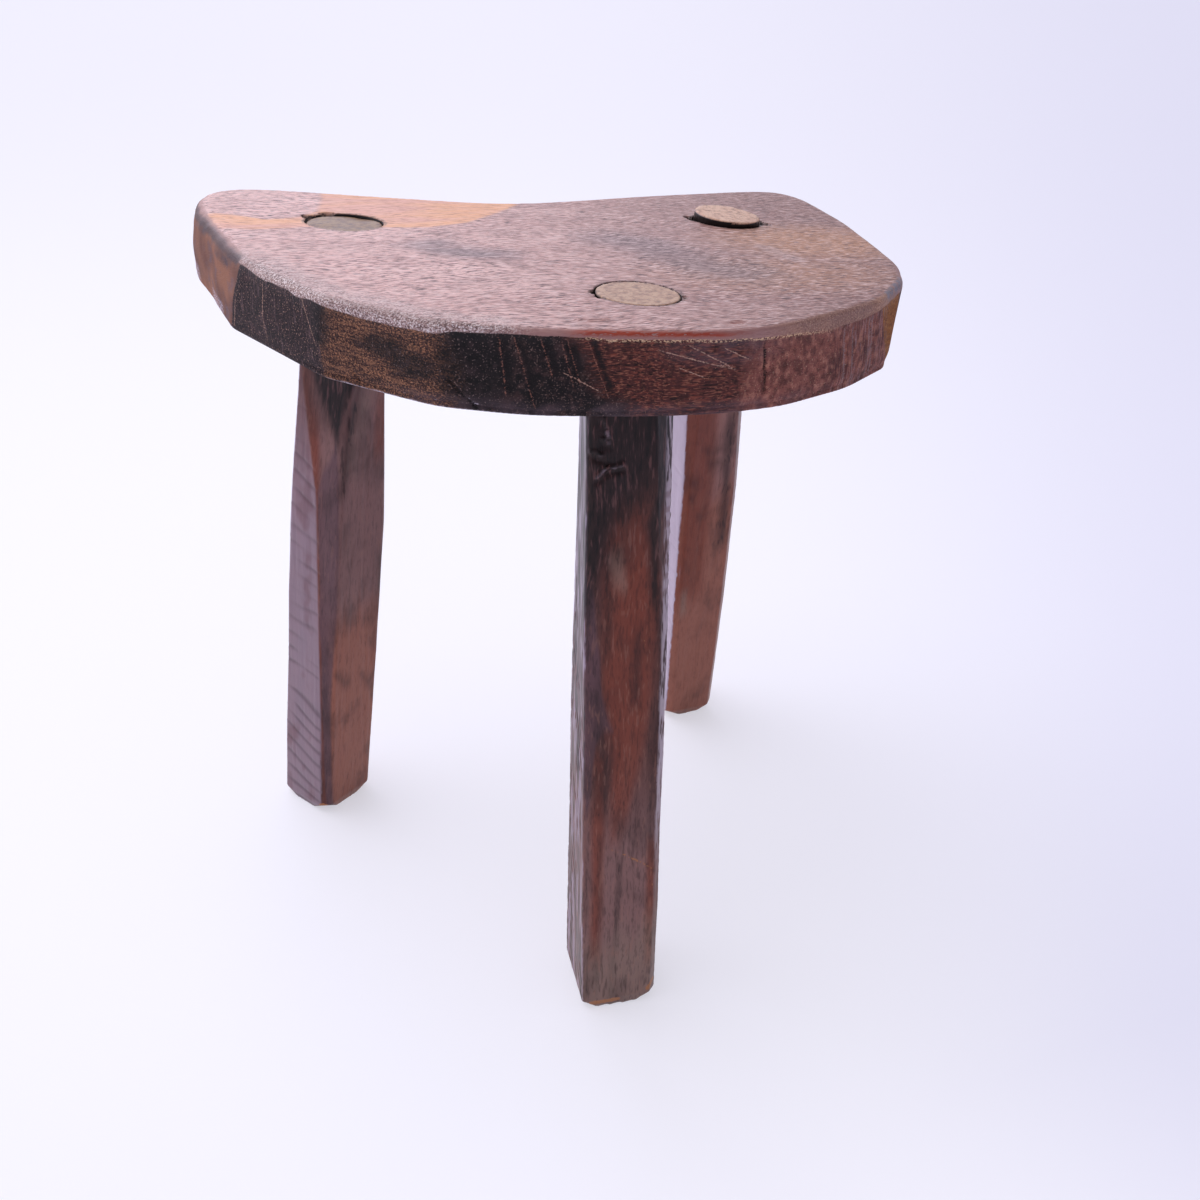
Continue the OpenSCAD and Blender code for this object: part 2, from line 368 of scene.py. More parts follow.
def paint_seat(mesh, edge):
    points, normals = read_points(mesh)
    flat = unroll(points, edge)
    (x, y, z), run, up = points.T, flat[:, 0], normals[:, 2]
    away_from_holes = np.maximum(1 - bored(points, 26), rise(z, SEAT_TOP - 8, SEAT_TOP - 14))
    # The side, below the line of the wear, and the underside
    upright = rise(up, 0.9, 0.7)
    below = 0.5 + (wear_height(flat, edge) + 0.5 * noise(points, 7, 12) - z) / 8
    paint(mesh, "side", np.clip(below, 0, 1) * away_from_holes * rise(z, SEAT_TOP - 1, SEAT_TOP - 2))
    paint(mesh, "under", rise(-up, 0.9, 0.98))
    paint(mesh, "behind", rise(normals[:, 1], 0.35, 0.75))
    for name, (top, foot, soft) in STRETCHES.items():
        away, _ = beside(flat, *unroll([top, foot], edge))
        paint(mesh, name, 0.5 - (away + soft * 0.6 * noise(points, 9, 70)) / (4 + 2 * soft))
    # The drawknife marks' pale red lines are partly bare wood, partly a painted highlight on the steps' edges
    paint_lines(mesh, "knife", flat, unroll_marks(KNIFE_MARKS, edge), 1.6)
    paint_lines(mesh, "scratch", flat, unroll_marks(SCRATCHES, edge), 1.3)
    paint_lines(mesh, "crack", flat + 0.4 * noise(points, 3, 21)[:, None], unroll_marks(CRACKS, edge), 1.6)
    paint_lines(mesh, "crease", flat, unroll_marks(CREASES, edge), 1.8)
    # Painted shade: dark bands to the right of the drawknife marks, in the steps they cut in
    cut = np.zeros(len(points))
    for start, end in unroll_marks(KNIFE_MARKS, edge):
        away, share = beside(flat, start, end)
        cut = np.maximum(cut, band(-away, 0.2, 1, 2, 3.6) * band(share, -0.06, 0.04, 0.8, 1.06))
    paint(mesh, "cut", cut)
    # Wear along the top edge: the bevel itself, and where it is grey, red and brown
    wear = rise(up, 0.99, 0.9) * away_from_holes * rise(z, SEAT_UNDER + 15, SEAT_TOP - 8)
    paint(mesh, "wear", wear)
    under_rim = wear_height(flat, edge) - z
    paint(mesh, "wear_grey", band(run, -226, -200, -88, -66))
    paint(mesh, "wear_grit", band(run, -216, -175, -88, -66) * rise(under_rim, -6, -1.2))
    inset = np.interp(edge_bearing(points), edge[0], edge[2]) - np.hypot(x, y)
    dusty = band(run, -226, -190, -85, -60) * rise(inset + 2.5 * noise(points, 5, 44), 17, 6)
    paint(mesh, "dusty", dusty * rise(z, SEAT_TOP - 3, SEAT_TOP - 1))
    paint(mesh, "wear_brown", band(run, 10, 40, 108, 117))
    away, _ = along(points + 1.2 * noise(points, 5, 45)[:, None], (108, -48, 305), (91, -69, 304))
    paint(mesh, "wear_blue", rise(away, 6, 2.5) * band(up, 0.05, 0.4, 0.94, 0.995))
    red = band(z - SEAT_TOP, -2.3, -1.8, -0.7, -0.3)
    paint(mesh, "red_edge", red * away_from_holes * band(run, -62, -48, -10, 14))
    # Grime under the rim of the left end, and the hairs torn off its foot, painted as lavender-white glints: painted
    # highlights
    left_end = rise(run, -201, -206)
    smudge = np.maximum(blot(points, (-151, 20, 301), (8, 15, 4), 1), blot(points, (-153, 62, 302), (8, 12, 3), 1))
    paint(mesh, "grime", left_end * np.maximum(band(under_rim, -2.4, 0, 0.4, 3.2), 0.6 * smudge))
    torn_foot = band(y, 18, 24, 38, 46) + 0.8 * band(y, 66, 72, 82, 90)
    paint(mesh, "torn_foot", torn_foot * left_end * rise(z - 0.065 * (y - 30), 283, 280.8) * upright)
    # Painted highlight: the arris along the foot of the side is painted pale where it catches the light
    arris = band(-up, 0.58, 0.7, 0.88, 0.97)
    paint(mesh, "foot_arris", arris * band(run, -150, -140, -80, -58))
    paint(mesh, "frayed", band(run, -58, -45, 34, 64))
    paint(mesh, "upright_marks", band(run, 46, 62, 96, 104))
    # Patches of the top
    top = rise(up, 0.75, 0.95)
    paint(mesh, "sap", 0.5 + top * inside(points[:, :2], SAPWOOD) / 16)
    tan = blot(points, (106, 14, SEAT_TOP), (44, 30, 20), 1.2)
    tan = np.maximum(tan, 0.6 * blot(points, (60, -40, SEAT_TOP), (50, 24, 20), 1.4))
    paint(mesh, "tan", top * tan)
    blue = np.zeros(len(points))
    for start, end, reach, most in STAINS:
        away, _ = along(points + 4 * noise(points, 14, 46)[:, None], (*start, SEAT_TOP), (*end, SEAT_TOP))
        blue = np.maximum(blue, most * rise(away, 1.5 * reach, 0.1 * reach))
    paint(mesh, "blue", top * blue)
    away, _ = along(points, (75, 4, SEAT_TOP), (78, -18, SEAT_TOP))
    paint(mesh, "scar", top * rise(away, 7, 2))
    # Painted shade: the holes' walls are painted black
    paint(mesh, "bore", rise(np.abs(up), 0.85, 0.6) * bored(points, 23) * (1 - bored(points, 4)))
    ring = np.abs(off_holes(points) - HOLE_RADIUS) + 0.9 * noise(points, 1.6, 33)
    paint(mesh, "ring", rise(ring, 1.5, 0.5) * top)
    # Painted shade, with the wood's own browner tone: the top darkens towards the right
    paint(mesh, "shade", rise(x - 0.3 * y, -130, 130))
    # Soot on the sawn end and the front, and a painted reflection: a lavender-grey sheen along the side's foot and in
    # a patch on the front
    soot = np.maximum.reduce([
        blot(points, (-110, -74, 293), (10, 10, 4), 1.4),
        blot(points, (-102, -82, 289), (10, 10, 4.5), 1.4),
        blot(points, (-86, -92, 292), (12, 12, 16), 0.8),
        0.8 * blot(points, (-128, -55, 296), (4, 6, 9), 0.8),
    ])
    paint(mesh, "soot", soot * rise(upright, 0, 0.5))
    foot = rise(z, 283, 278) * band(run, -125, -110, 20, 60)
    paint(mesh, "haze", upright * np.maximum(0.8 * blot(points, (0, -109, 299), (22, 9, 5), 1.2), 0.7 * foot))


# The legs


# What each leg's faces carry, drawn on its elevation as the camera sees it: by mask, how
# wide the edge fades, four times that along the leg, and the outline as places across and
# heights, in millimetres
# The dark patches high on the legs are partly the wood's own dark, partly painted shade under the seat
LEG_PATCHES = {
    "front": {
        "dark": [
            (10, [(-8, 330), (38, 330), (32, 252), (26, 238), (14, 224), (8, 198), (4, 170), (0, 190), (-6, 230)]),
            (5, [
                (26.5, 290), (31, 290), (31.4, 246), (30.6, 236), (29.6, 224), (30.4, 214),
                (33.6, 180), (29.6, 200), (26.6, 214), (24.6, 226), (26, 236),
            ]),
        ],
        "dusky": [
            (6, [(12, 165), (18, 143), (21.5, 126), (20, 100), (15, 122), (12, 140)]),
            (3.5, [(24.4, 184), (27, 186), (28.6, 152), (25.4, 150)]),
            (6, [(33, 230), (37, 230), (42, 80), (38.5, 80)]),
            (4, [(10, 216), (12, 216), (15.4, 172), (13, 170)]),
            (4, [(27.6, 74), (29.4, 74), (33.4, -10), (30.6, -10)]),
            (3, [(19, 90), (20, 90), (25, 10), (23.6, 10)]),
        ],
        "red": [
            (9, [(8, 226), (22, 236), (32, 200), (33, 150), (30, 98), (24, 88), (20, 120), (14, 154)]),
            (4.5, [(14, 130), (18, 130), (24.8, 26), (20, 26), (16, 79)]),
            (4, [(39.6, 86), (43.2, 86), (47.8, 24), (45, 24)]),
        ],
        "mauve": [(3, [
            (4, 210), (7.1, 200), (10, 180), (14.3, 158), (19.4, 141),
            (16, 142), (13.8, 134), (12.6, 100), (9, 120), (6, 165),
        ])],
        "pale": [(18, [(12, 100), (46, 116), (56, -40), (14, -40)])],
        "grey": [
            (3, [(12, 213), (16, 213), (18.6, 201), (15, 202)]),
            (8, [(14, 34), (50, 44), (52, -10), (14, -10)]),
        ],
    },
    "left": {
        "dark": [
            (3, [(-129, 262), (-97, 262), (-105, 241), (-108.6, 230), (-113.2, 212), (-117, 224), (-122, 236)]),
            (5, [(-101, 262), (-97, 262), (-106.6, 222), (-111.8, 188), (-113.6, 190), (-109.5, 221)]),
        ],
        "dusky": [
            (3, [(-130, 262), (-112, 262), (-112, 212), (-117, 216), (-123, 228)]),
            (3, [(-119.4, 91), (-116.6, 82), (-114, 82), (-116.6, 89)]),
            (3, [(-109.8, 81), (-107, 72), (-103.6, 80), (-107, 78)]),
            (7, [(-102, 150), (-97, 150), (-98, 86), (-101, 86)]),
        ],
        "red": [
            (9, [(-128, 226), (-123, 226), (-121.4, 200), (-124, 172), (-126.8, 198)]),
            (6, [(-125.8, 154), (-124.6, 154), (-126.2, 74), (-127, 5), (-128.4, 5), (-127.4, 75)]),
            (8, [(-138, 194), (-133.6, 190), (-136, 144), (-141, 142)]),
            (8, [(-95, 262), (-90, 262), (-97, 205), (-99, 206)]),
        ],
        "mauve": [(3, [
            (-124, 187), (-119, 201), (-113.6, 217), (-113.2, 187), (-116, 134),
            (-121.2, 75), (-124.6, -8), (-127.6, -8), (-126.4, 50), (-125.7, 110),
        ])],
        "pale": [(8, [(-128, 330), (-80, 330), (-88, 124), (-122, 124)])],
        "brown": [(7, [(-121, 136), (-90, 132), (-92, -60), (-127, -60)])],
        "grey": [(6, [(-104, 236), (-98, 240), (-108, 200), (-110, 203)])],
    },
    "right": {
        "dark": [(7, [(67, 210), (71.5, 210), (75.5, 157), (76.5, 128), (73, 128), (70.5, 164)])],
        "dusky": [
            (3.5, [(56, 191), (69, 192), (69, 187), (59, 187)]),
            (3.5, [(59, 184), (71, 184), (71, 179), (61, 179)]),
            (3, [(52.2, 174), (56, 174), (56, 168), (52.2, 168)]),
            (3, [(52.2, 165), (56, 165), (56, 159), (52.2, 159)]),
        ],
        "red": [(9, [(42, 250), (60, 250), (67, 100), (53, 90)])],
        "pale": [
            (10, [(36, 280), (94, 280), (92, 165), (46, 165)]),
            (4, [(76, 260), (94, 260), (96, 100), (82, 102), (78, 160)]),
        ],
        "brown": [(12, [(26, 330), (94, 330), (104, -80), (36, -80)])],
        "light": [(12, [(26, 330), (94, 330), (98, 170), (44, 170)])],
        "grey": [(3, [(55.6, 95), (58.6, 95), (60.4, 82), (57, 82)])],
    },
}
# Bare wood where chips came off the feet and scratches went through the wax: from, to, reach
BARE_WOOD = {
    "front": [
        ((-32.5, -125.5, 3.2), (-20, -127.5, 3.4), 1.4),
        ((-5.9, -128.5, 7.8), (-3, -126.5, 10.5), 1.2),
        ((-14.1, -100.1, 179.5), (-14.3, -100.6, 176), 0.1),
        ((-24.8, -113.7, 83.5), (-17.5, -115.8, 79.5), 0.15),
        ((-17.5, -115.8, 79.5), (-13.5, -116.7, 76.8), 0.45),
        ((-12, -117, 76), (-7.3, -118.3, 72.5), 0.25),
        ((-7.3, -118.3, 72.5), (-5.5, -120.9, 55.3), -0.1),
    ],
    "left": [((-124.5, 38.6, 5), (-122, 38.6, 4), 1.5)],
    "right": [],
}
# The flat that the drawknife left down the left leg's near corner, station by station:
# height, and places of its left and right edge
NEAR_FLAT = [
    (19, (-124.5, 38.8), (-119.5, 37.3)), (96, (-120.9, 39.1), (-115.1, 35.4)), (152, (-119, 40.8), (-111.6, 34.3)),
    (202, (-118, 43.8), (-108.7, 34.4)), (216, (-118.9, 46.9), (-107.8, 34.6)), (240, (-119.6, 50.5), (-103, 34)),
]
# Where each left face ends on the leg's elevation: places across at heights
LEFT_FACE_ENDS = {
    "front": ([0, 280], [60, 60]),
    "left": ([0, 16, 74, 154, 186, 220, 240], [-127.6, -127.4, -126.5, -125.2, -124.6, -128, -130]),
    "right": ([0, 280], [90, 90]),
}
# Bearing that each leg's left face looks to, and how steeply the tool's marks slant across it
LEFT_FACES = {"front": (169, 1.2), "left": (212, 0.2), "right": (183, 0.3)}
# Torn grain at the front leg's top: ridges from, to, and height
TORN_GRAIN = [
    ((-36, -82, 253.6), (-32.7, -83.6, 252.4), 1.1),
    ((-34, -84.6, 244.5), (-30.5, -84.9, 248), 0.9),
    ((-30.5, -84.9, 248), (-25, -86, 249.2), 1),
    ((-32.6, -81.3, 266), (-31, -82, 263), 0.7),
    ((-30.8, -82.6, 261.2), (-29.5, -82.8, 259.5), 0.8),
    ((-32.5, -82.4, 258.5), (-29.5, -83, 257), 0.7),
]


# Millimetres from one cross groove of the drawknife to the next, and from one rope-like dent to the next
GROOVE_PITCH = 8.7
DENT_PITCH = 6.5


def facing(normals, bearing, low=0.75, high=0.92):
    """1 where a surface looks to a bearing, counted from +X."""
    way = math.radians(bearing)
    return rise(normals @ (math.cos(way), math.sin(way), 0), low, high)


def tool_waves(points, side, seed):
    """Cross grooves left by the drawknife on a leg's left face, some deeper than others, from -1 in a groove to 0."""
    bearing, slant = LEFT_FACES[side]
    way = math.radians(bearing)
    across = points @ (-math.sin(way), math.cos(way), 0)
    bent = points[:, 2] + slant * across + 4.5 * noise(points, (20, 20, 20), seed + 2)
    deep = np.clip(0.45 + 1.2 * noise(points, (12, 12, 9), seed), 0.05, 1)
    return -deep * bell((bent / GROOVE_PITCH) % 1 - 0.5, 0.13)


def off_dent(points):
    """How far each point is from the nearest dent's ridge, from 0 to 0.5, down the front leg's right arris."""
    return np.abs((points[:, 2] / DENT_PITCH + 0.3 * noise(points, 9, 91)) % 1 - 0.5)


def off_ridge(points, start, end):
    """Distance of each point from a ragged ridge of torn grain."""
    return along(points + 0.5 * noise(points, 2.5, 92)[:, None], start, end)[0]


def shape_leg(mesh, side, seed):
    points, normals = read_points(mesh)
    z = points[:, 2]
    shaft = rise(z, SEAT_UNDER + 1, SEAT_UNDER - 6)
    sole = rise(z, 0.5, 5)
    depth = 0.45 * fractal(points, (20, 20, 45), seed, 2)
    depth += 0.12 * noise(points, (1.6, 1.6, 30), seed + 4)
    left_face = facing(normals, LEFT_FACES[side][0])
    low = rise(z, 250, 205) if side == "left" else rise(z, 215, 170)
    depth += left_face * low * 0.32 * tool_waves(points, side, seed + 7)
    # Rope-like dents down the front leg's right arris, and torn grain at its top
    if side == "front":
        arris = facing(normals, -20, 0.86, 0.95) * band(z, 190, 200, 232, 238)
        depth -= arris * 1.1 * (1 - 2 * off_dent(points)) ** 2
        for start, end, tall in TORN_GRAIN:
            depth += tall * bell(off_ridge(points, start, end), 0.75)
            away, _ = along(points, np.add(start, (0.3, 0, -1.9)), np.add(end, (0.3, 0, -1.9)))
            depth -= 0.6 * tall * bell(away, 1.4)
    # The tenons are swollen tight in their holes
    in_hole = rise(z, SEAT_UNDER, SEAT_UNDER + 3) * rise(normals[:, 2], 0.8, 0.4)
    points += normals * (depth * shaft * sole + 0.33 * in_hole)[:, None]
    if side == "left":
        heights = [station[0] for station in NEAR_FLAT]
        left, right = (
            np.stack([np.interp(z, heights, [station[end][i] for station in NEAR_FLAT]) for i in (0, 1)], axis=1)
            for end in (1, 2)
        )
        run = right - left
        out = np.stack([run[:, 1], -run[:, 0]], axis=1) / np.linalg.norm(run, axis=1)[:, None]
        proud = np.maximum(np.sum((points[:, :2] - left) * out, axis=1), 0)
        points[:, :2] -= out * (proud * rise(z, SEAT_UNDER - 10, SEAT_UNDER - 25))[:, None]
        # The left tenon's end has come up a little, and is hollow
        end = rise(z, SEAT_TOP - 8, SEAT_TOP - 3)
        z += end * (1.1 + 0.5 * noise(points, (9, 9, 30), 151))
    if side == "right":
        # The right tenon's end is cut a little off square
        end = rise(z, SEAT_TOP - 4, SEAT_TOP + 2)
        z += end * 0.065 * ((points[:, :2] - HOLES[2]) @ (0.41, 0.91))
    write_points(mesh, points)


def paint_leg(mesh, side, seed):
    points, normals = read_points(mesh)
    z = points[:, 2]
    paint(mesh, "end_grain", rise(z, SEAT_TOP - 6, SEAT_TOP - 5) * rise(normals[:, 2], 0.5, 0.8))
    # Painted shade: the tenons' sides in the holes are painted black
    paint(mesh, "tenon", rise(z, SEAT_UNDER - 1, SEAT_UNDER + 2) * rise(normals[:, 2], 0.8, 0.5))
    turn = math.radians(LENS_TURN)
    across = points[:, 0] * math.cos(turn) - points[:, 1] * math.sin(turn)
    waver = [noise(points, (5, 5, 20), seed + 20 + i) for i in (0, 1)]
    elevation = np.stack([across + 0.7 * waver[0], z + 3 * waver[1]], axis=1)
    for name, patches in LEG_PATCHES[side].items():
        value = np.zeros(len(points))
        for fade, outline in patches:
            value = np.maximum(value, 0.5 + inside(elevation / (1, 4), np.array(outline) / (1, 4)) / fade)
        paint(mesh, name, value)
    bare = np.zeros(len(points))
    for start, end, reach in BARE_WOOD[side]:
        away, _ = along(points, start, end)
        bare = np.maximum(bare, 0.5 + (reach - away) / 2.4)
    paint(mesh, "bare", bare)
    # Painted reflection: each left face carries a lavender sheen of the pale backdrop, in streaks on the front leg
    # and bright on the right leg
    backdrop_sheen = facing(normals, LEFT_FACES[side][0]) * rise(np.interp(z, *LEFT_FACE_ENDS[side]) - across, 0, 1.2)
    if side == "left":
        backdrop_sheen *= 0.3 + 0.7 * rise(z, 240, 170) + 0.8 * rise(z, 120, 50)
    if side == "front":
        paint(mesh, "streaked", backdrop_sheen * (0.6 + 0.4 * rise(z, 100, 150)))
        backdrop_sheen *= 0.38 - 0.31 * rise(z, 170, 90)
    if side == "right":
        paint(mesh, "bright_face", backdrop_sheen)
    paint(mesh, "left_face", backdrop_sheen)
    paint(mesh, "fibrous", np.full(len(points), {"left": 0.45, "front": 0.75, "right": 0.35}[side]))
    # Painted reflection on the arris turned towards the back, high on each leg
    paint(mesh, "back_arris", facing(normals, LEFT_FACES[side][0] - 44, 0.8, 0.93) * rise(z, 120, 170))
    paint(mesh, "end_tone", np.full(len(points), {"left": 0.0, "front": 0.55, "right": 1.0}[side]))
    groove = 0.15 if side == "right" else 1
    paint(mesh, "tool_groove", groove * backdrop_sheen * -tool_waves(points, side, seed + 7))
    if side == "front":
        # Painted reflection: the arris on its right is painted bright where it catches the light, and less in the
        # dents
        heights = np.arange(20, 270, 6)
        outer = [across[np.abs(z - level) < 4].max() for level in heights]
        strip = rise(across - np.interp(z, heights, outer), -3.2, -1.8)
        rope = np.where(np.abs(z - 216) < 22, 0.55 + 0.45 * rise(off_dent(points), 0.12, 0.3), 1)
        paint(mesh, "bright_arris", facing(normals, -50, 0.86, 0.93) * strip * rise(z, 50, 120) * rope)
        # Painted highlights on the ridges of the torn grain
        ridges = [rise(off_ridge(points, start, end), 0.9, 0.3) for start, end, _ in TORN_GRAIN]
        paint(mesh, "torn_ridge", np.maximum.reduce(ridges))
    # The grain follows the leg's lean, and wavers a little
    top, foot = (points[near].mean(axis=0) for near in (z > SEAT_UNDER, z < 12))
    lean = (top - foot) / (top[2] - foot[2])
    waver = np.stack([noise(points, (30, 30, 45), seed + 30 + i) for i in range(3)], axis=1)
    grain = points - points[:, 2:] * (lean[0], lean[1], 0) + 1.6 * waver
    layer = mesh.attributes.new("grain", "FLOAT_VECTOR", "POINT")
    layer.data.foreach_set("vector", (grain / MM).astype(np.float32).ravel())


# Materials


def linear(code):
    """Linear colour of an sRGB hex value."""
    parts = [int(code[i : i + 2], 16) / 255 for i in (1, 3, 5)]
    return [c / 12.92 if c <= 0.04045 else ((c + 0.055) / 1.055) ** 2.4 for c in parts] + [1]


def add(tree, kind, inputs=None, out=0, **settings):
    """Adds a node with its settings and gives one of its outputs. An input is a value, or an output to link."""
    node = tree.nodes.new("ShaderNode" + kind)
    for name, value in settings.items():
        setattr(node, name, value)
    for name, value in (inputs or {}).items():
        if isinstance(value, bpy.types.NodeSocket):
            tree.links.new(value, node.inputs[name])
        else:
            node.inputs[name].default_value = value
    return node.outputs[out] if node.outputs else node


def new_material(name):
    material = bpy.data.materials.new(name)
    material.use_nodes = True
    tree = material.node_tree
    tree.nodes.clear()
    return material, tree


def streaks(tree, place, size, detail=2.0, roughness=0.5):
    """Noise from 0 to 1 with features of size (x, y, z) in millimetres."""
    scaled = add(tree, "VectorMath", {0: place, 1: [MM / s for s in size]}, operation="MULTIPLY")
    inputs = {"Vector": scaled, "Scale": 1.0, "Detail": detail, "Roughness": roughness}
    return add(tree, "TexNoise", inputs, out="Fac")


def coats(tree, below, layers):
    """Lays coats on a colour. A coat has its mask or masks, colour and share, and may have a noise and two levels."""
    for masks, colour, share, *grain in layers:
        for mask in masks if isinstance(masks, tuple) else (masks,):
            if isinstance(mask, str):
                mask = add(tree, "Attribute", out="Fac", attribute_name=mask)
            share = add(tree, "Math", {0: mask, 1: share}, operation="MULTIPLY")
        if grain:
            rough, start, full = grain
            low, high = (0.0, share) if full > start else (share, 0.0)
            inputs = {"Value": rough, "From Min": min(start, full), "From Max": max(start, full)}
            inputs.update({"To Min": low, "To Max": high})
            share = add(tree, "MapRange", inputs, interpolation_type="SMOOTHSTEP")
        below, colour = (linear(code) if isinstance(code, str) else code for code in (below, colour))
        below = add(tree, "Mix", {0: share, 6: below, 7: colour}, out=2, data_type="RGBA")
    return below


def edged(tree, name, rough, spread, soft):
    """A painted mask cut at its half-way line, which the noise rough pushes about by spread."""
    painted = add(tree, "Attribute", out="Fac", attribute_name=name)
    pushed = add(tree, "Math", {0: rough, 1: spread, 2: painted}, operation="MULTIPLY_ADD")
    middle = 0.5 + spread / 2
    inputs = {"Value": pushed, "From Min": middle - soft, "From Max": middle + soft}
    return add(tree, "MapRange", inputs, interpolation_type="SMOOTHSTEP")


def drawn(tree, name, rough, width, broken=1.9):
    """Painted lines, width wide as a share of the width painted over. The noise rough breaks them."""
    painted = add(tree, "Attribute", out="Fac", attribute_name=name)
    centred = add(tree, "Math", {0: painted, 1: 0.5}, operation="SUBTRACT")
    off_line = add(tree, "Math", {0: centred}, operation="ABSOLUTE")
    shaken = add(tree, "Math", {0: rough, 1: width * broken, 2: off_line}, operation="MULTIPLY_ADD")
    inputs = {"Value": shaken, "From Min": width * 0.7, "From Max": width * 1.15, "To Min": 1.0, "To Max": 0.0}
    line = add(tree, "MapRange", inputs)
    reach = add(tree, "Attribute", out="Fac", attribute_name=name + "_reach")
    return add(tree, "Math", {0: line, 1: reach}, operation="MULTIPLY")


